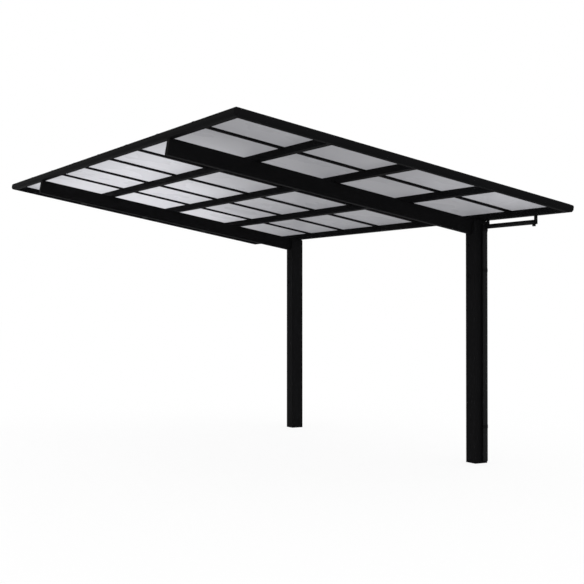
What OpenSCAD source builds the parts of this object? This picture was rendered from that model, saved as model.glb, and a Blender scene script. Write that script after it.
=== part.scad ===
// Cantilever carport: a sloping single-pitch roof of translucent sheets on two posts along its low side.
// X runs down the slope toward the posts, Y from the front to the rear, Z up.
// The origin is the centre of the front post's foot, on the ground. All sizes in millimetres.

/* [Roof] */
// outside length of the roof frame, front to rear
roof_length = 4950; // [4200:10:5600]
// outside width of the roof frame, measured down the slope
roof_width = 2750; // [2400:10:3100]
// fall of the roof toward the posts, in degrees
roof_slope = 10; // [5:0.5:14]
// ground to the underside of the sheets at the high edge
high_edge_height = 2427; // [2250:1:2800]
// how far the frame reaches outside the sheet field
edge_overhang = 40; // [34:1:50]
// how far the frame reaches under the sheet field
edge_inset = 10; // [6:1:20]
// depth of the edge frame and the purlins below the sheets
frame_depth = 51; // [42:1:60]
// radius of the lower outer edge of the frame
frame_round = 20; // [10:1:24]
// radius of the roof frame's four corners, seen from above
corner_round = 25; // [16:1:32]
// height of the lip outside the sheets
lip_height = 2; // [1:0.5:4]
// width of the lip outside the sheets
lip_width = 12; // [8:1:14]
// wall of the frame, the gutter and the purlins
frame_wall = 2.5; // [2:0.1:4]

/* [Sheets and bars] */
// thickness of the roof sheets
sheet_thickness = 4; // [3:0.5:8]
// room round a sheet for expansion
sheet_clearance = 1; // [0.5:0.1:2]
// how far a sheet reaches past the field at the gutter
sheet_drip = 4; // [0:1:8]
// width of a glazing bar under the sheets
bar_width = 37; // [30:1:46]
// depth of a glazing bar under the sheets
bar_depth = 11; // [9:0.5:16]
// wall of a glazing bar
bar_wall = 2; // [1.5:0.1:3]
// thickness of the web between two sheets
web_thickness = 6; // [4:0.5:10]
// width of a cap strip on top of the sheets
cap_width = 40; // [30:1:50]
// thickness of a cap strip
cap_thickness = 4; // [3:0.5:6]
// width of a purlin
purlin_width = 36; // [28:1:48]
// play of a glazing bar in its slot in a purlin
slot_clearance = 0.2; // [0.1:0.05:0.3]

/* [Arms] */
// front edge of the roof to the middle of the front arm
front_overhang = 1040; // [850:1:1250]
// rear edge of the roof to the middle of the rear arm
rear_overhang = 968; // [750:1:1150]
// width of an arm
arm_width = 45; // [38:1:70]
// depth of an arm, square to the roof
arm_depth = 118; // [90:1:150]
// wall of an arm
arm_wall = 4; // [3:0.5:5]
// edge radius of an arm
arm_round = 6; // [5.5:0.5:10]
// how far an arm's free end reaches out under the high edge beam, past the sheet field
arm_reach = 21; // [0:1:30]
// thickness of the cap on an arm's free end
arm_cap_thickness = 3; // [2:0.5:6]
// thickness of the plate that closes an arm at the post
arm_plate_thickness = 8; // [6:1:12]

/* [Posts] */
// outside width of a square post
post_size = 122; // [105:1:140]
// wall of a post
post_wall = 4; // [3:0.5:6]
// edge radius of a post
post_round = 8; // [7:0.5:12]
// how far a post stands out past the low edge of the roof
post_outstand = 0; // [-8:1:30]
// thickness of the sloping plate on a post
post_cap_thickness = 5; // [4:0.5:8]
// thickness of the foot plate inside a post
foot_thickness = 10; // [8:0.5:16]
// play between a foot plate and its post
foot_clearance = 0.15; // [0.1:0.05:0.25]
// distance between two anchor holes of a foot plate
anchor_spacing = 66; // [56:1:70]
// diameter of an anchor hole
anchor_hole = 14; // [11:0.5:16]

/* [Drain] */
// front edge of the roof to the gutter outlet
outlet_from_front = 363; // [250:1:480]
// outside diameter of the two gutter outlets
outlet_diameter = 26; // [22:0.5:30]
// outside diameter of the level pipe
pipe_diameter = 36; // [32:0.5:40]
// wall of the drain pipes
pipe_wall = 2; // [1.5:0.1:2.5]
// gutter underside to the middle of the level pipe
pipe_drop = 49; // [44:1:70]
// diameter of the drain plug under the first outlet
plug_diameter = 26; // [18:1:28]
// first outlet to the drain plug
plug_offset = 20; // [16:1:26]
// middle of the level pipe to the lower end of the drain plug
plug_drop = 31; // [26:1:38]
// outside diameter of the downpipe
downpipe_diameter = 40; // [36:1:50]
// second outlet to the middle of the downpipe
inlet_offset = 38; // [34:1:70]
// wall of the tee and of the closed ends
tee_wall = 3; // [2.5:0.1:5]
// space between the tee and the front post
downpipe_gap = 1; // [0.5:0.5:8]
// ground to the lower end of the downpipe
downpipe_foot = 20; // [10:1:60]
// play of a pipe in its socket
pipe_fit = 0.15; // [0.1:0.05:0.25]
// depth of the tee's socket and length of the spigots in the level pipe
socket_depth = 14; // [12:1:22]
// height of a downpipe clip
clip_height = 26; // [18:1:36]
// wall of a downpipe clip
clip_wall = 1.6; // [1.2:0.1:3]
// ground to the lower clip
clip_rise = 280; // [150:1:500]
// level pipe to the top of the upper clip
clip_drop = 330; // [120:1:600]

/* [Hidden] */
$fn = 64;
rows = 8;
bays = 4;
far = 20000;
ca = cos(roof_slope);
sa = sin(roof_slope);
field_length = roof_length - 2 * edge_overhang;
field_width = roof_width - 2 * edge_overhang;
row_pitch = field_length / rows;
bay_pitch = field_width / bays;
post_spacing = roof_length - front_overhang - rear_overhang;
half_post = post_size / 2;
// place of the high front corner of the sheet field, at the underside of the sheets
ref_x = half_post - post_outstand - (field_width + edge_overhang) * ca;
ref_y = edge_overhang - front_overhang;
ref_z = high_edge_height;
sheet_reach = edge_overhang - lip_width - sheet_clearance;
// gutter outlet, level pipe and downpipe in the shared frame
outlet_a = (edge_overhang - frame_round - edge_inset) / 2;
outlet_x = ref_x + (field_width + outlet_a) * ca - frame_depth * sa;
outlet_y = ref_y + outlet_from_front - edge_overhang;
pipe_z = roof_z(outlet_x, frame_depth) - pipe_drop;
tee_diameter = downpipe_diameter + 2 * (tee_wall + pipe_fit);
down_reach = tee_diameter / 2 + downpipe_gap;
down_y = -half_post - down_reach;
inlet_y = down_y - inlet_offset;
elbow_run = plug_offset + plug_diameter / 2 + 2;
tee_run = inlet_offset + outlet_diameter / 2 + 3;
pipe_run = down_y - tee_run - outlet_y - elbow_run;
pipe_bore = pipe_diameter - 2 * pipe_wall;
outlet_bore = outlet_diameter - 2 * pipe_wall;
branch_bore = outlet_bore - 1;
down_top = pipe_z - pipe_diameter / 2 - 6;

// height of the plane that lies depth d under the sheets, at the place x
function roof_z(x, d) = ref_z - (x - ref_x) * tan(roof_slope) - d / cos(roof_slope);

// puts a shape drawn in roof coordinates in its place
module on_roof() {
  translate([ref_x, ref_y, ref_z]) rotate([0, roof_slope, 0]) children();
}

// everything above the plane that lies depth d under the sheets
module above(d) {
  on_roof() translate([-far / 2, -far / 2, -d]) cube([far, far, far]);
}

// a rectangle with round corners
module round_rect(w, h, r) {
  square([w - 2 * r, h], center = true);
  square([w, h - 2 * r], center = true);
  for (sx = [-1, 1])
    for (sy = [-1, 1])
      translate([sx * (w / 2 - r), sy * (h / 2 - r)]) circle(r = r);
}

// the outside of a post, far longer than needed
module post_block(inset) {
  linear_extrude(height = high_edge_height)
    round_rect(post_size - 2 * inset, post_size - 2 * inset, post_round - inset);
}

module post_tube(y) {
  color([0.08, 0.08, 0.085]) translate([0, y, 0]) difference() {
    post_block(0);
    translate([0, 0, -10]) post_block(post_wall);
    translate([0, -y, 0]) above(frame_depth + post_cap_thickness);
  }
}

module post_plate(y) {
  color([0.08, 0.08, 0.085]) difference() {
    intersection() {
      translate([0, y, 0]) post_block(0);
      above(frame_depth + post_cap_thickness);
    }
    above(frame_depth);
  }
}

module foot_plate(y) {
  inner = post_size - 2 * post_wall - 2 * foot_clearance;
  color([0.55, 0.56, 0.58]) translate([0, y, 0]) difference() {
    linear_extrude(height = foot_thickness) round_rect(inner, inner, post_round - post_wall);
    for (sx = [-1, 1])
      for (sy = [-1, 1])
        translate([sx * anchor_spacing / 2, sy * anchor_spacing / 2, -1])
          cylinder(h = foot_thickness + 2, d = anchor_hole);
  }
}

// a bar of the arm's section along the slope, from the place x1, shrunk by inset
module arm_block(x1, length, inset) {
  on_roof() translate([x1, -ref_y, -frame_depth - arm_depth / 2]) rotate([90, 0, 90])
    linear_extrude(height = length)
      round_rect(arm_width - 2 * inset, arm_depth - 2 * inset, arm_round - inset);
}

// everything on the post's side of the plane x
module beyond(x) {
  translate([x, -far / 2, -far / 2]) cube([far, far, far]);
}

module arm_tube(y) {
  color([0.07, 0.07, 0.075]) translate([0, y, 0]) difference() {
    arm_block(arm_cap_thickness - arm_reach, field_width, 0);
    difference() {
      arm_block(-arm_reach, field_width + arm_depth, arm_wall);
      beyond(-half_post - arm_plate_thickness);
    }
    beyond(-half_post);
  }
}

module arm_end(y) {
  color([0.09, 0.09, 0.095]) translate([0, y, 0]) arm_block(-arm_reach, arm_cap_thickness, 0);
}

// section of the edge frame: the first axis points outward from the field, the second up
module edge_outside(t) {
  r = frame_round - t;
  translate([-edge_inset + t, -frame_depth + frame_round])
    square([edge_overhang + edge_inset - 2 * t, frame_depth - frame_round - t]);
  translate([-edge_inset + t, -frame_depth + t])
    square([edge_overhang + edge_inset - frame_round - t, frame_depth - 2 * t]);
  translate([edge_overhang - frame_round, -frame_depth + frame_round]) circle(r = r);
}

// outside of a frame side with its lip of the given width
module lipped_outside(lip) {
  edge_outside(0);
  translate([edge_overhang - lip, -frame_wall]) square([lip, lip_height + frame_wall]);
}

// inside of the gutter, open at the top
module trough_inside() {
  edge_outside(frame_wall);
  translate([-edge_inset + frame_wall, -frame_depth / 2])
    square([edge_overhang + edge_inset - 2 * frame_wall, frame_depth]);
}

// plan of the whole roof frame with its round corners, shrunk by inset
module roof_plan(inset) {
  translate([field_width / 2, field_length / 2, -frame_depth - 10]) linear_extrude(height = frame_depth + 40)
    round_rect(roof_width - 2 * inset, roof_length - 2 * inset, corner_round - inset);
}

// ground plan of one mitred frame side of the given length between the field's corners
module mitre(length) {
  translate([0, 0, -frame_depth - 10]) linear_extrude(height = frame_depth + 40)
    polygon([[-edge_inset, edge_inset], [edge_overhang, -edge_overhang],
      [edge_overhang, length + edge_overhang], [-edge_inset, length - edge_inset]]);
}

// runs a section along Y, past both ends of a frame side
module along_side(length) {
  translate([0, length + 2 * edge_overhang, 0]) rotate([90, 0, 0])
    linear_extrude(height = length + 4 * edge_overhang) children();
}

// a frame side of the given length at its place: children are its outside and its inside section
module frame_side(place, turn, length) {
  difference() {
    intersection() {
      translate(place) rotate([0, 0, turn]) intersection() {
        along_side(length) children(0);
        mitre(length);
      }
      roof_plan(0);
    }
    intersection() {
      translate(place) rotate([0, 0, turn]) along_side(length) children(1);
      roof_plan(frame_wall);
    }
  }
}

module edge_beam(place, turn, length) {
  color([0.1, 0.1, 0.105]) on_roof() frame_side(place, turn, length) {
    lipped_outside(lip_width);
    edge_outside(frame_wall);
  }
}

module front_edge_beam() { edge_beam([0, 0, 0], -90, field_width); }
module rear_edge_beam() { edge_beam([field_width, field_length, 0], 90, field_width); }
module high_edge_beam() { edge_beam([0, field_length, 0], 180, field_length); }

// plan of a stop end: a thin mitred wall across the gutter
module gutter_stop() {
  translate([0, 0, -frame_depth + frame_wall / 2])
    linear_extrude(height = frame_depth - frame_wall)
      polygon([[-edge_inset + 1, edge_inset - 1], [edge_overhang - 1, -edge_overhang + 1],
        [edge_overhang - 1, -edge_overhang + 1 + 2 * frame_wall],
        [-edge_inset + 1, edge_inset - 1 + 2 * frame_wall]]);
}

module stop_pair() {
  intersection() {
    along_side(field_length) edge_outside(frame_wall / 2);
    union() {
      gutter_stop();
      translate([0, field_length, 0]) mirror([0, 1, 0]) gutter_stop();
    }
  }
}

module low_gutter() {
  color([0.1, 0.1, 0.105]) difference() {
    on_roof() {
      frame_side([field_width, 0, 0], 0, field_length) {
        lipped_outside(frame_wall);
        trough_inside();
      }
      intersection() {
        translate([field_width, 0, 0]) stop_pair();
        roof_plan(frame_wall / 2);
      }
    }
    for (y = [outlet_y, inlet_y])
      translate([outlet_x, y, pipe_z]) cylinder(h = pipe_drop + 4 * frame_wall, d = outlet_bore);
  }
}

module purlin(i) {
  color([0.08, 0.08, 0.085]) on_roof() difference() {
    translate([i * bay_pitch - purlin_width / 2, edge_inset, -frame_depth])
      cube([purlin_width, field_length - 2 * edge_inset, frame_depth]);
    translate([i * bay_pitch - purlin_width / 2 + frame_wall, 0, -frame_depth + frame_wall])
      cube([purlin_width - 2 * frame_wall, field_length, frame_depth - 2 * frame_wall]);
    for (k = [1 : rows - 1])
      translate([i * bay_pitch - purlin_width, k * row_pitch - bar_width / 2 - slot_clearance, -bar_depth])
        cube([2 * purlin_width, bar_width + 2 * slot_clearance, bar_depth + 1]);
  }
}

module purlin_1() { purlin(1); }
module purlin_2() { purlin(2); }
module purlin_3() { purlin(3); }

// a hollow bar with a closed end at the gutter and a web between two sheets
module glazing_bar(k) {
  length = field_width - 2 * edge_inset;
  color([0.08, 0.08, 0.085]) on_roof() translate([edge_inset, k * row_pitch, 0]) {
    difference() {
      translate([0, -bar_width / 2, -bar_depth]) cube([length, bar_width, bar_depth]);
      translate([-1, -bar_width / 2 + bar_wall, -bar_depth + bar_wall])
        cube([length + 1 - 2 * bar_wall, bar_width - 2 * bar_wall, bar_depth - 2 * bar_wall]);
    }
    translate([0, -web_thickness / 2, -bar_wall])
      cube([length, web_thickness, sheet_thickness + bar_wall]);
  }
}

module glazing_bar_1() { glazing_bar(1); }
module glazing_bar_2() { glazing_bar(2); }
module glazing_bar_3() { glazing_bar(3); }
module glazing_bar_4() { glazing_bar(4); }
module glazing_bar_5() { glazing_bar(5); }
module glazing_bar_6() { glazing_bar(6); }
module glazing_bar_7() { glazing_bar(7); }

module cap_strip(k) {
  c = cap_thickness / 2;
  color([0.08, 0.08, 0.085]) on_roof() translate([-sheet_reach, k * row_pitch, sheet_thickness])
    rotate([90, 0, 90]) linear_extrude(height = field_width + sheet_reach + sheet_drip)
      polygon([[-cap_width / 2, 0], [cap_width / 2, 0], [cap_width / 2, c],
        [cap_width / 2 - c, cap_thickness], [-cap_width / 2 + c, cap_thickness], [-cap_width / 2, c]]);
}

module cap_strip_1() { cap_strip(1); }
module cap_strip_2() { cap_strip(2); }
module cap_strip_3() { cap_strip(3); }
module cap_strip_4() { cap_strip(4); }
module cap_strip_5() { cap_strip(5); }
module cap_strip_6() { cap_strip(6); }
module cap_strip_7() { cap_strip(7); }

module roof_sheet(k) {
  side = web_thickness / 2 + sheet_clearance;
  y1 = k == 1 ? -sheet_reach : (k - 1) * row_pitch + side;
  y2 = k == rows ? field_length + sheet_reach : k * row_pitch - side;
  color([0.62, 0.62, 0.65, 0.8]) on_roof() translate([-sheet_reach, y1, 0])
    cube([field_width + sheet_reach + sheet_drip, y2 - y1, sheet_thickness]);
}

module roof_sheet_1() { roof_sheet(1); }
module roof_sheet_2() { roof_sheet(2); }
module roof_sheet_3() { roof_sheet(3); }
module roof_sheet_4() { roof_sheet(4); }
module roof_sheet_5() { roof_sheet(5); }
module roof_sheet_6() { roof_sheet(6); }
module roof_sheet_7() { roof_sheet(7); }
module roof_sheet_8() { roof_sheet(8); }

module front_post() { post_tube(0); }
module rear_post() { post_tube(post_spacing); }
module front_foot() { foot_plate(0); }
module rear_foot() { foot_plate(post_spacing); }
module front_post_cap() { post_plate(0); }
module rear_post_cap() { post_plate(post_spacing); }
module front_arm() { arm_tube(0); }
module rear_arm() { arm_tube(post_spacing); }
module front_arm_cap() { arm_end(0); }
module rear_arm_cap() { arm_end(post_spacing); }

// a level branch along Y with a spigot for the pipe at its end
module branch(run) {
  rotate([-90, 0, 0]) cylinder(h = run, d = pipe_diameter);
  rotate([-90, 0, 0]) cylinder(h = run + socket_depth, d = pipe_bore - 2 * pipe_fit);
}

module branch_inside(run) {
  rotate([-90, 0, 0]) cylinder(h = run + socket_depth + 1, d = branch_bore);
}

module drain_outlet() {
  low = pipe_diameter / 2 - pipe_wall;
  color([0.09, 0.09, 0.095]) difference() {
    translate([outlet_x, outlet_y, pipe_z]) difference() {
      union() {
        translate([0, 0, -low]) cylinder(h = low + pipe_drop + frame_depth, d = outlet_diameter);
        translate([0, plug_offset, -plug_drop]) cylinder(h = plug_drop, d = plug_diameter);
        branch(elbow_run);
      }
      translate([0, 0, tee_wall - low]) cylinder(h = low + pipe_drop + frame_depth, d = outlet_bore);
      branch_inside(elbow_run);
    }
    above(frame_depth);
  }
}

module drain_pipe() {
  color([0.09, 0.09, 0.095]) translate([outlet_x, outlet_y + elbow_run, pipe_z]) rotate([-90, 0, 0])
    difference() {
      cylinder(h = pipe_run, d = pipe_diameter);
      translate([0, 0, -1]) cylinder(h = pipe_run + 2, d = pipe_bore);
    }
}

module drain_tee() {
  low = pipe_z - down_top;
  top = pipe_diameter / 2 + tee_wall;
  color([0.09, 0.09, 0.095]) difference() {
    translate([outlet_x, down_y, pipe_z]) difference() {
      union() {
        translate([0, 0, -low - socket_depth]) cylinder(h = low + socket_depth + top, d = tee_diameter);
        translate([0, -inlet_offset, 0]) cylinder(h = pipe_drop + frame_depth, d = outlet_diameter);
        mirror([0, 1, 0]) branch(tee_run);
      }
      translate([0, 0, -low - socket_depth - 1])
        cylinder(h = socket_depth + 1, d = downpipe_diameter + 2 * pipe_fit);
      translate([0, 0, -low - 1])
        cylinder(h = low + 1 + top - tee_wall, d = downpipe_diameter - 2 * pipe_wall);
      translate([0, -inlet_offset, 0]) cylinder(h = pipe_drop + frame_depth, d = outlet_bore);
      mirror([0, 1, 0]) branch_inside(tee_run);
    }
    above(frame_depth);
  }
}

module downpipe() {
  color([0.1, 0.1, 0.105]) translate([outlet_x, down_y, downpipe_foot]) difference() {
    cylinder(h = down_top - downpipe_foot, d = downpipe_diameter);
    translate([0, 0, -1]) cylinder(h = down_top, d = downpipe_diameter - 2 * pipe_wall);
  }
}

module clip(z) {
  wide = downpipe_diameter / 2;
  color([0.09, 0.09, 0.095]) translate([outlet_x, down_y, z]) difference() {
    union() {
      cylinder(h = clip_height, d = downpipe_diameter + 2 * (clip_wall + pipe_fit));
      translate([-wide / 2, 0, 0]) cube([wide, down_reach, clip_height]);
    }
    translate([0, 0, -1]) cylinder(h = clip_height + 2, d = downpipe_diameter + 2 * pipe_fit);
  }
}

module clip_upper() { clip(pipe_z - clip_drop - clip_height); }
module clip_lower() { clip(clip_rise); }

front_post();
rear_post();
front_foot();
rear_foot();
front_post_cap();
rear_post_cap();
front_arm();
rear_arm();
front_arm_cap();
rear_arm_cap();
front_edge_beam();
rear_edge_beam();
high_edge_beam();
low_gutter();
purlin_1();
purlin_2();
purlin_3();
glazing_bar_1();
glazing_bar_2();
glazing_bar_3();
glazing_bar_4();
glazing_bar_5();
glazing_bar_6();
glazing_bar_7();
cap_strip_1();
cap_strip_2();
cap_strip_3();
cap_strip_4();
cap_strip_5();
cap_strip_6();
cap_strip_7();
roof_sheet_1();
roof_sheet_2();
roof_sheet_3();
roof_sheet_4();
roof_sheet_5();
roof_sheet_6();
roof_sheet_7();
roof_sheet_8();
drain_outlet();
drain_pipe();
drain_tee();
downpipe();
clip_upper();
clip_lower();
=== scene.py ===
# Looks for the cantilever carport: powder-coated frame with a rolled nose, grey roof sheets, bolts,
# screws and seals, a pale studio floor and the photograph's camera.
# Metres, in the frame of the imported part.
import math

import bmesh
import bpy
from mathutils import Matrix, Vector


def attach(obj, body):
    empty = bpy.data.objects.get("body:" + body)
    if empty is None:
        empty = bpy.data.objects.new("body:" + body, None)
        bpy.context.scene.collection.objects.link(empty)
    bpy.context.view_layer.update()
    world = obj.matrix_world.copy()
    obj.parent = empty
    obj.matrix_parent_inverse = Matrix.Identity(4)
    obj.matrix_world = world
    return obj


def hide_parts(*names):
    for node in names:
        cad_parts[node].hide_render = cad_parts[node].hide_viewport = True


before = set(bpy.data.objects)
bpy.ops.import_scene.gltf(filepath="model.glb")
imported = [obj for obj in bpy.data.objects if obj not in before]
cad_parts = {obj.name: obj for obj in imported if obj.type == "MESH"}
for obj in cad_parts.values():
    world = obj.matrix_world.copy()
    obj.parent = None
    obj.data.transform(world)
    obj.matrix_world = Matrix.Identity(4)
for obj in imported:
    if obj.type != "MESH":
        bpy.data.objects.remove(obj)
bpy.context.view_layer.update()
scene = bpy.context.scene
scene.view_settings.view_transform = "Standard"

# Sizes shared with the solids. The roof's own X runs down the slope and its Y from front to rear,
# from the high front corner of the field of sheets; its Z is 0 at the sheets' underside.
SLOPE = math.radians(10)
FIELD_WIDTH, FIELD_LENGTH = 2.670, 4.870
ROWS, BAYS = 8, 4
ROW, BAY = FIELD_LENGTH / ROWS, FIELD_WIDTH / BAYS
CORNER = Vector((-2.60783, -1.0, 2.427))
ROOF = Matrix.Translation(CORNER) @ Matrix.Rotation(SLOPE, 4, "Y")
POST_HALF, POST_SPACING = 0.061, 2.942
POSTS = (0, POST_SPACING)
# thickness of a sheet and of a cap strip; a sheet's length, and how far it reaches past the field
SHEET, CAP = 0.004, 0.004
SHEET_LENGTH, SHEET_REACH = 2.701, 0.027
# half the width of a cap strip, a glazing bar and a purlin
CAP_HALF, BAR_HALF, PURLIN_HALF = 0.020, 0.0185, 0.018
# the frame's reach outside and inside the field's edge, its depth, wall and the lip's inner edge
OVERHANG, INSET, DEPTH, WALL = 0.040, 0.010, 0.051, 0.0025
LIP_EDGE = 0.028
# the gutter's stop ends and the two round holes in its floor
STOP_PLATE = 0.0035
DRAIN_X, DRAIN_Y, FLOOR_Z, BORE = 0.01767, (-0.677, -0.12315), 1.9135, 0.011


# Materials

def srgb(code):
    """An sRGB hex colour as linear RGBA."""
    parts = [int(code[i:i + 2], 16) / 255 for i in (1, 3, 5)]
    return [c / 12.92 if c <= 0.04045 else ((c + 0.055) / 1.055) ** 2.4 for c in parts] + [1.0]


def add(tree, kind, links=None, **settings):
    """Adds a node, sets its properties and sockets, and links its inputs."""
    n = tree.nodes.new(kind)
    for key, value in settings.items():
        if key in n.bl_rna.properties:
            setattr(n, key, value)
        else:
            n.inputs[key.replace("_", " ")].default_value = value
    for key, source in (links or {}).items():
        tree.links.new(source, n.inputs[key])
    return n


def new_material(name):
    """A bare material: itself, its tree, its surface socket and the object's own coordinates."""
    mat = bpy.data.materials.new(name)
    mat.use_nodes = True
    tree = mat.node_tree
    tree.nodes.clear()
    out = tree.nodes.new("ShaderNodeOutputMaterial")
    where = tree.nodes.new("ShaderNodeTexCoord").outputs["Object"]
    return mat, tree, out.inputs["Surface"], where


def powder_coat(name, dark, light, roughness):
    """Polyester powder on metal, baked: a deep satin black with a fine orange peel and very little
    sheen. The peel is about 1 mm on the real one and drawn at 9 mm, so that it shows at all."""
    peel_size, cloud_size, rough_play = 0.009, 0.35, 0.05
    mat, tree, surface, where = new_material(name)
    peel = add(tree, "ShaderNodeTexNoise", {"Vector": where}, Scale=1 / peel_size, Detail=2.0)
    cloud = add(tree, "ShaderNodeTexNoise", {"Vector": where}, Scale=1 / cloud_size, Detail=4.0)
    tone = add(tree, "ShaderNodeMix", {"Factor": cloud.outputs["Fac"]},
               data_type="RGBA", A=srgb(dark), B=srgb(light))
    rough = add(tree, "ShaderNodeMapRange", {"Value": peel.outputs["Fac"]},
                To_Min=roughness - rough_play, To_Max=roughness + rough_play)
    bump = add(tree, "ShaderNodeBump", {"Height": peel.outputs["Fac"]},
               Strength=0.06, Distance=0.0006)
    coat = add(tree, "ShaderNodeBsdfPrincipled", {
        "Base Color": tone.outputs["Result"], "Roughness": rough.outputs["Result"],
        "Normal": bump.outputs["Normal"]}, IOR=1.5, Specular_IOR_Level=0.006)
    tree.links.new(coat.outputs[0], surface)
    return mat


def polycarbonate(name):
    """Extruded grey-tinted polycarbonate: it passes soft light from above, and its smooth skin
    mirrors the pale ground at a flat angle. Faint die lines run down the slope, drawn 20 mm
    apart."""
    line_gap, haze_size, along, light_passed = 0.02, 0.5, 0.4, 0.8
    mat, tree, surface, where = new_material(name)
    lines = add(tree, "ShaderNodeMapping", {"Vector": where}, Scale=(along, 1 / line_gap, along))
    die = add(tree, "ShaderNodeTexNoise", {"Vector": lines.outputs[0]}, Scale=1.0, Detail=2.0)
    haze = add(tree, "ShaderNodeTexNoise", {"Vector": where}, Scale=1 / haze_size, Detail=5.0)
    tone = add(tree, "ShaderNodeMix", {"Factor": haze.outputs["Fac"]},
               data_type="RGBA", A=srgb("#c3c3c6"), B=srgb("#c9c9cb"))
    bump = add(tree, "ShaderNodeBump", {"Height": die.outputs["Fac"]},
               Strength=0.05, Distance=0.0004)
    rough = add(tree, "ShaderNodeMapRange", {"Value": haze.outputs["Fac"]},
                To_Min=0.22, To_Max=0.34)
    gloss = add(tree, "ShaderNodeBsdfPrincipled", {
        "Base Color": tone.outputs["Result"], "Roughness": rough.outputs["Result"],
        "Normal": bump.outputs["Normal"]}, IOR=1.585)
    glow = add(tree, "ShaderNodeBsdfTranslucent", {"Color": tone.outputs["Result"]})
    both = add(tree, "ShaderNodeMixShader", {1: gloss.outputs[0], 2: glow.outputs[0]})
    both.inputs[0].default_value = light_passed
    tree.links.new(both.outputs[0], surface)
    return mat


def moulded_plastic(name, code):
    """Weather-resistant black plastic or rubber, moulded or extruded: a little softer to the eye
    than the coat, with a fine grain of about 0.5 mm, drawn at 6 mm so that it shows."""
    grain_size, lighter = 0.006, 1.25
    mat, tree, surface, where = new_material(name)
    grain = add(tree, "ShaderNodeTexNoise", {"Vector": where}, Scale=1 / grain_size, Detail=3.0)
    tone = add(tree, "ShaderNodeMix", {"Factor": grain.outputs["Fac"]},
               data_type="RGBA", A=srgb(code), B=[lighter * c for c in srgb(code)[:3]] + [1.0])
    bump = add(tree, "ShaderNodeBump", {"Height": grain.outputs["Fac"]},
               Strength=0.08, Distance=0.0005)
    body = add(tree, "ShaderNodeBsdfPrincipled", {
        "Base Color": tone.outputs["Result"], "Normal": bump.outputs["Normal"]},
        Roughness=0.38, IOR=1.5, Specular_IOR_Level=0.04)
    tree.links.new(body.outputs[0], surface)
    return mat


def galvanised_steel(name):
    """Hot-dip galvanised plate: grey zinc with spangle crystals of about 12 mm."""
    spangle_size = 0.012
    mat, tree, surface, where = new_material(name)
    spangle = add(tree, "ShaderNodeTexVoronoi", {"Vector": where}, Scale=1 / spangle_size)
    tone = add(tree, "ShaderNodeMix", {"Factor": spangle.outputs["Color"]},
               data_type="RGBA", A=srgb("#9a9ea2"), B=srgb("#b9bdc0"))
    zinc = add(tree, "ShaderNodeBsdfPrincipled", {"Base Color": tone.outputs["Result"]},
               Metallic=0.85, Roughness=0.45)
    tree.links.new(zinc.outputs[0], surface)
    return mat


frame_coat = powder_coat("powder_coated_aluminium_frame", "#121213", "#161617", 0.55)
# the posts have the same black coat as the frame; here its colours are painted a step lighter, a
# painted lightening of the posts in the roof's shade
post_coat_painted_lighter = powder_coat("powder_coated_aluminium_post_painted_lighter", "#131314", "#171718", 0.55)
sheet_mat = polycarbonate("extruded_polycarbonate_grey")
drain_mat = moulded_plastic("moulded_plastic_black", "#0e0e0f")
pipe_mat = moulded_plastic("extruded_pvc_pipe_black", "#19191a")
zinc_mat = galvanised_steel("galvanised_steel_plate")
seal_mat = moulded_plastic("extruded_epdm_rubber", "#101010")
screw_mat = powder_coat("black_coated_stainless_screw", "#0c0c0d", "#141415", 0.35)

for name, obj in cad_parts.items():
    if name.startswith("roof_sheet"):
        mat = sheet_mat
    elif name.endswith("_foot"):
        mat = zinc_mat
    elif name == "downpipe":
        mat = pipe_mat
    elif name.startswith(("drain", "clip")):
        mat = drain_mat
    elif "post" in name:
        mat = post_coat_painted_lighter
    else:
        mat = frame_coat
    obj.data.materials.clear()
    obj.data.materials.append(mat)


# Ways to make a piece

def revolve(bm, at, profile, steps=24):
    """Turns (radius, height) points about the local Z axis of the matrix at."""
    turn = [2 * math.pi * i / steps for i in range(steps)]
    rings = []
    for r, z in profile:
        spots = [(r * math.cos(t), r * math.sin(t), z) for t in turn] if r > 0 else [(0, 0, z)]
        rings.append([bm.verts.new(at @ Vector(spot)) for spot in spots])
    for low, high in zip(rings, rings[1:]):
        for i in range(steps):
            corners = [low[i % len(low)], low[(i + 1) % len(low)],
                       high[(i + 1) % len(high)], high[i % len(high)]]
            unique = list(dict.fromkeys(corners))
            if len(unique) > 2:
                bm.faces.new(unique)


def hex_screw(bm, at, flats, height, washer):
    """A hexagon head with a turned top on a round washer; the washer's underside is at height 0."""
    rim = 0.12 * washer
    revolve(bm, at, [(0, 0), (washer, 0), (washer, rim), (washer - rim, 2 * rim), (0, 2 * rim)])
    head = at @ Matrix.Translation((0, 0, 2 * rim))
    across = flats / math.sqrt(3)
    shape = [(0, 0), (across, 0), (across, 0.8 * height), (0.84 * across, height), (0, height)]
    revolve(bm, head, shape, 6)


def extrude(bm, at, profile, length):
    """Runs a closed (y, z) outline along the local X axis of the matrix at, with flat ends."""
    ends = [[bm.verts.new(at @ Vector((x, y, z))) for y, z in profile] for x in (0, length)]
    for i in range(len(profile)):
        j = (i + 1) % len(profile)
        bm.faces.new((ends[0][i], ends[1][i], ends[1][j], ends[0][j]))
    bm.faces.new(ends[0])
    bm.faces.new(list(reversed(ends[1])))


def close_rings(bm, at, rings):
    """Closes rings of (along, outward, up) points into a solid with flat ends. Points that lie
    within a thousandth of a millimetre are one."""
    spots = {}
    for ring in rings:
        for spot in ring:
            key = tuple(round(c, 6) for c in spot)
            if key not in spots:
                spots[key] = bm.verts.new(at @ Vector(spot))
    rings = [[spots[tuple(round(c, 6) for c in spot)] for spot in ring] for ring in rings]
    for one, two in zip(rings, rings[1:]):
        for j in range(len(one)):
            k = (j + 1) % len(one)
            corners = list(dict.fromkeys((one[j], two[j], two[k], one[k])))
            if len(corners) > 2:
                bm.faces.new(corners)
    bm.faces.new(rings[0])
    bm.faces.new(list(reversed(rings[-1])))


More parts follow.
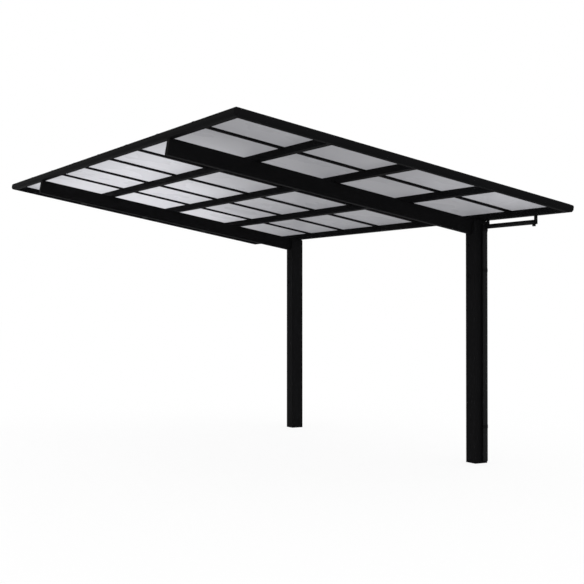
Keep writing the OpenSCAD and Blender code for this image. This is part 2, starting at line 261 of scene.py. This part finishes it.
def piece(name, bm, mat, smooth):
    """Closes a bmesh into a named object that rides on the part."""
    bmesh.ops.recalc_face_normals(bm, faces=bm.faces)
    mesh = bpy.data.meshes.new(name)
    bm.to_mesh(mesh)
    bm.free()
    mesh.materials.append(mat)
    obj = bpy.data.objects.new(name, mesh)
    scene.collection.objects.link(obj)
    if smooth:
        mesh.shade_smooth()
        mesh.set_sharp_from_angle(angle=math.radians(35))
    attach(obj, "root")
    return obj


# The edge frame with its rolled nose, in place of the plain sections.
# A section's points are (outward, up) from the field's edge. The nose has three radii: below, above
# and at the corners seen from above; LOW and TOP are the middles of the first two.

NOSE_LOW, NOSE_TOP, NOSE_PLAN = 0.024, 0.014, 0.012
LOW_U, LOW_Z = OVERHANG - NOSE_LOW, NOSE_LOW - DEPTH
TOP_U, TOP_Z = OVERHANG - NOSE_TOP, SHEET - NOSE_TOP


def arc(u, z, radius, start, stop, steps=10):
    """Points on a circle, from one angle to the other in degrees."""
    turn = [math.radians(start + (stop - start) * i / steps) for i in range(steps + 1)]
    return [(u + radius * math.cos(t), z + radius * math.sin(t)) for t in turn]


def mitred_run(u, length, steps=6):
    """Where a line of the section runs, (along, outward), from mitre to mitre round the corners."""
    radius = NOSE_PLAN - OVERHANG + u
    middle = OVERHANG - NOSE_PLAN
    if radius > 0:
        half = [(a - middle, b + middle) for a, b in arc(0, 0, radius, 135, 90, steps)]
    else:
        half = [(-u, u)] * (steps + 1)
    return half + [(length - s, w) for s, w in reversed(half)]


def frame_rings(section, length):
    """The section's points at each step of the run, from one mitre to the other."""
    runs = [mitred_run(u, length) for u, z in section]
    return [[(*run[i], z) for run, (u, z) in zip(runs, section)] for i in range(len(runs[0]))]


# a beam is closed up to its lip; the gutter is open from the nose's end to its inner wall
NOSE = arc(LOW_U, LOW_Z, NOSE_LOW, -90, 0) + arc(TOP_U, TOP_Z, NOSE_TOP, 0, 60)
BEAM = [(-INSET, -DEPTH), *NOSE, *arc(TOP_U, TOP_Z, NOSE_TOP, 66, 81.8, 3),
        (LIP_EDGE, 0), (-INSET, 0)]
TROUGH = [*arc(TOP_U, TOP_Z, NOSE_TOP - WALL, 60, 0),
          *arc(LOW_U, LOW_Z, NOSE_LOW - WALL, 0, -90),
          (WALL - INSET, WALL - DEPTH), (WALL - INSET, 0)]
GUTTER = [(-INSET, -DEPTH), *NOSE, *TROUGH, (-INSET, 0)]


def side_place(x, y, along, outward):
    """The place of a frame side: its own axes run along it, outward and up."""
    axes = Matrix((along, outward, (0, 0, 1))).transposed().to_4x4()
    return ROOF @ Matrix.Translation((x, y, 0)) @ axes


def bore_floor(gutter):
    """Cuts the two round drain holes in the gutter's floor."""
    reach = 0.012
    bm = bmesh.new()
    for y in DRAIN_Y:
        revolve(bm, Matrix.Translation((DRAIN_X, y, FLOOR_Z)),
                [(0, -reach), (BORE, -reach), (BORE, reach), (0, reach)], 32)
    bmesh.ops.recalc_face_normals(bm, faces=bm.faces)
    mesh = bpy.data.meshes.new("drill")
    bm.to_mesh(mesh)
    bm.free()
    drill = bpy.data.objects.new("drill", mesh)
    scene.collection.objects.link(drill)
    cut = gutter.modifiers.new("drain_holes", "BOOLEAN")
    cut.operation, cut.solver, cut.object = "DIFFERENCE", "EXACT", drill
    bpy.context.view_layer.update()
    cut_gutter = gutter.evaluated_get(bpy.context.evaluated_depsgraph_get())
    bored = bpy.data.meshes.new_from_object(cut_gutter)
    gutter.modifiers.clear()
    gutter.data = bored
    bpy.data.objects.remove(drill)


for name, at, length in (
        ("front_edge_beam", side_place(0, 0, (1, 0, 0), (0, -1, 0)), FIELD_WIDTH),
        ("rear_edge_beam", side_place(0, FIELD_LENGTH, (1, 0, 0), (0, 1, 0)), FIELD_WIDTH),
        ("high_edge_beam", side_place(0, 0, (0, 1, 0), (-1, 0, 0)), FIELD_LENGTH),
        ("low_gutter", side_place(FIELD_WIDTH, 0, (0, 1, 0), (1, 0, 0)), FIELD_LENGTH)):
    bm = bmesh.new()
    if name == "low_gutter":
        close_rings(bm, at, frame_rings(GUTTER, length))
        ends = frame_rings(TROUGH, length)
        for ring, step in ((ends[0], STOP_PLATE), (ends[-1], -STOP_PLATE)):
            close_rings(bm, at, [ring, [(s + step, u, z) for s, u, z in ring]])
    else:
        close_rings(bm, at, frame_rings(BEAM, length))
    rolled = piece("rolled_" + name, bm, frame_coat, True)
    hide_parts(name)
    if name == "low_gutter":
        bore_floor(rolled)


# Small pieces that the solids leave out

# a shaped packer on each post, under the gutter's round nose, tapered at both ends:
# (along the gutter, angle on the nose where the wedge ends)
PACKER = ((-0.0608, -25), (-0.0545, -12), (0.0545, -12), (0.0608, -25))
bm = bmesh.new()
for y in POSTS:
    at = ROOF @ Matrix.Translation((FIELD_WIDTH, y - CORNER.y, 0))
    rings = []
    for v, stop in PACKER:
        wedge = arc(LOW_U, LOW_Z, NOSE_LOW, -90, stop)
        rings.append([(u, v, z) for u, z in wedge + [(wedge[-1][0], -DEPTH)]])
    close_rings(bm, at, rings)
piece("post_packers", bm, post_coat_painted_lighter, True)

# two bolts in the inner face of each post, where the arm's bracket ends
BOLT = {"flats": 0.016, "height": 0.0065, "washer": 0.0115}
BOLT_OFFSET, BOLT_HEIGHTS = 0.020, (1.718, 1.474)
INWARD = Matrix.Rotation(math.radians(-90), 4, "Y")
bm = bmesh.new()
for y in POSTS:
    for z in BOLT_HEIGHTS:
        hex_screw(bm, Matrix.Translation((-POST_HALF, y + BOLT_OFFSET, z)) @ INWARD, **BOLT)
piece("post_bolts", bm, screw_mat, True)

# screws along each cap strip
SCREW = {"flats": 0.008, "height": 0.0045, "washer": 0.0075}
SCREWS, SCREW_START, SCREW_PITCH = 7, 0.06, 0.425
bm = bmesh.new()
for k in range(1, ROWS):
    for j in range(SCREWS):
        spot = (SCREW_START + j * SCREW_PITCH, k * ROW, SHEET + CAP)
        hex_screw(bm, ROOF @ Matrix.Translation(spot), **SCREW)
piece("cap_strip_screws", bm, screw_mat, True)

# rubber lips on both sides of each cap strip and, twice as wide, of each glazing bar between the
# purlins, and a smaller bead over the joint of sheet and frame, pressed into the lip
LIP = [(0, 0), (0.0035, 0), (0.0032, 0.0008), (0.0018, 0.002), (0, 0.0024)]
UNDER_WIDTH = 2.0
BEAD_SHARE, BEAD_START, BEAD_LENGTH, BEAD_Z = 0.8, 0.0265, 2.700, 0.0035
bm = bmesh.new()
for k in range(1, ROWS):
    for hand in (1, -1):
        over = ROOF @ Matrix.Translation((-SHEET_REACH, k * ROW + hand * CAP_HALF, SHEET))
        extrude(bm, over, [(hand * y, z) for y, z in LIP], SHEET_LENGTH)
        for j in range(BAYS):
            start = j * BAY + (INSET if j == 0 else PURLIN_HALF)
            stop = (j + 1) * BAY - (INSET if j == BAYS - 1 else PURLIN_HALF)
            under = ROOF @ Matrix.Translation((start, k * ROW + hand * BAR_HALF, 0))
            extrude(bm, under, [(hand * UNDER_WIDTH * y, -z) for y, z in LIP], stop - start)
for edge, hand in ((-SHEET_REACH, -1), (FIELD_LENGTH + SHEET_REACH, 1)):
    at = ROOF @ Matrix.Translation((-BEAD_START, edge, BEAD_Z))
    extrude(bm, at, [(hand * BEAD_SHARE * y, BEAD_SHARE * z) for y, z in LIP], BEAD_LENGTH)
FORWARD = Matrix.Rotation(math.radians(-90), 4, "Z")
at = ROOF @ Matrix.Translation((-SHEET_REACH, FIELD_LENGTH + BEAD_START, BEAD_Z)) @ FORWARD
extrude(bm, at, [(-BEAD_SHARE * y, BEAD_SHARE * z) for y, z in LIP], FIELD_LENGTH + 2 * BEAD_START)
piece("sheet_seals", bm, seal_mat, False)


# Floor, light and camera

# matt paint for the light that the floor throws back; the camera, gloss and the sheets see it
# near white, with the soft shadow kept
FLOOR_HALF, FLOOR_DROP = 60, 0.001
FLOOR_GREY, WHITE_SHARE = 0.86, 0.88
WHITE = (1, 1, 1, 1)
floor_mesh = bpy.data.meshes.new("studio_floor")
square = ((-1, -1), (1, -1), (1, 1), (-1, 1))
floor_mesh.from_pydata([(x * FLOOR_HALF, y * FLOOR_HALF, 0) for x, y in square], [],
                       [(0, 1, 2, 3)])
floor = bpy.data.objects.new("studio_floor", floor_mesh)
scene.collection.objects.link(floor)
floor.location.z = -FLOOR_DROP
mat, tree, surface, _ = new_material("studio_floor")
paint = add(tree, "ShaderNodeBsdfDiffuse", Color=(FLOOR_GREY, FLOOR_GREY, FLOOR_GREY, 1))
shown = add(tree, "ShaderNodeBsdfDiffuse", Color=WHITE)
white = add(tree, "ShaderNodeEmission")
path = add(tree, "ShaderNodeLightPath")
seen = add(tree, "ShaderNodeMath", {
    0: path.outputs["Is Camera Ray"], 1: path.outputs["Is Glossy Ray"]}, operation="MAXIMUM")
seen = add(tree, "ShaderNodeMath", {
    0: seen.outputs[0], 1: path.outputs["Is Transmission Ray"]}, operation="MAXIMUM")
pale = add(tree, "ShaderNodeMixShader", {1: shown.outputs[0], 2: white.outputs[0]})
pale.inputs[0].default_value = WHITE_SHARE
both = add(tree, "ShaderNodeMixShader", {
    0: seen.outputs[0], 1: paint.outputs[0], 2: pale.outputs[0]})
tree.links.new(both.outputs[0], surface)
floor_mesh.materials.append(mat)

world = bpy.data.worlds.new("studio")
scene.world = world
world.use_nodes = True
tree = world.node_tree
tree.nodes.clear()
sky = add(tree, "ShaderNodeBackground", Color=WHITE)
add(tree, "ShaderNodeOutputWorld", {"Surface": sky.outputs[0]})

# strip softboxes close over the sheets, along the bays: (down the slope, from the front, length,
# watts); three reach over the rear of the roof and one lights its low front corner
STRIP_WIDTH, STRIP_HEIGHT = 0.6, 0.45
STRIPS = ((0.33, 1.3, 3.55, 18), (1.0, 2.5, 2.35, 11), (1.67, 3.6, 1.25, 6), (2.25, 0.0, 0.6, 2))
for down, front, length, watts in STRIPS:
    lamp = bpy.data.lights.new("strip_softbox", "AREA")
    lamp.shape = "RECTANGLE"
    lamp.size, lamp.size_y = STRIP_WIDTH, length
    lamp.energy = watts
    strip = bpy.data.objects.new("strip_softbox", lamp)
    scene.collection.objects.link(strip)
    strip.matrix_world = ROOF @ Matrix.Translation((down, front + length / 2, STRIP_HEIGHT))
    strip.visible_camera = False

# the photograph's camera, fitted to the corners of the roof's fields; the focal length is in pixels
IMAGE, FOCAL, SENSOR = 584, 1117.94, 36
PITCH, YAW = math.radians(90.62), math.radians(-29.25)
camera = bpy.data.objects.new("camera", bpy.data.cameras.new("camera"))
scene.collection.objects.link(camera)
camera.data.sensor_width = SENSOR
camera.data.lens = FOCAL / IMAGE * SENSOR
camera.location = (-5.60836, -7.02784, 1.24968)
camera.rotation_euler = (PITCH, 0, YAW)
camera.data.clip_end = 200
camera.data.shift_x, camera.data.shift_y = -0.5 / IMAGE, 0.5 / IMAGE
scene.camera = camera
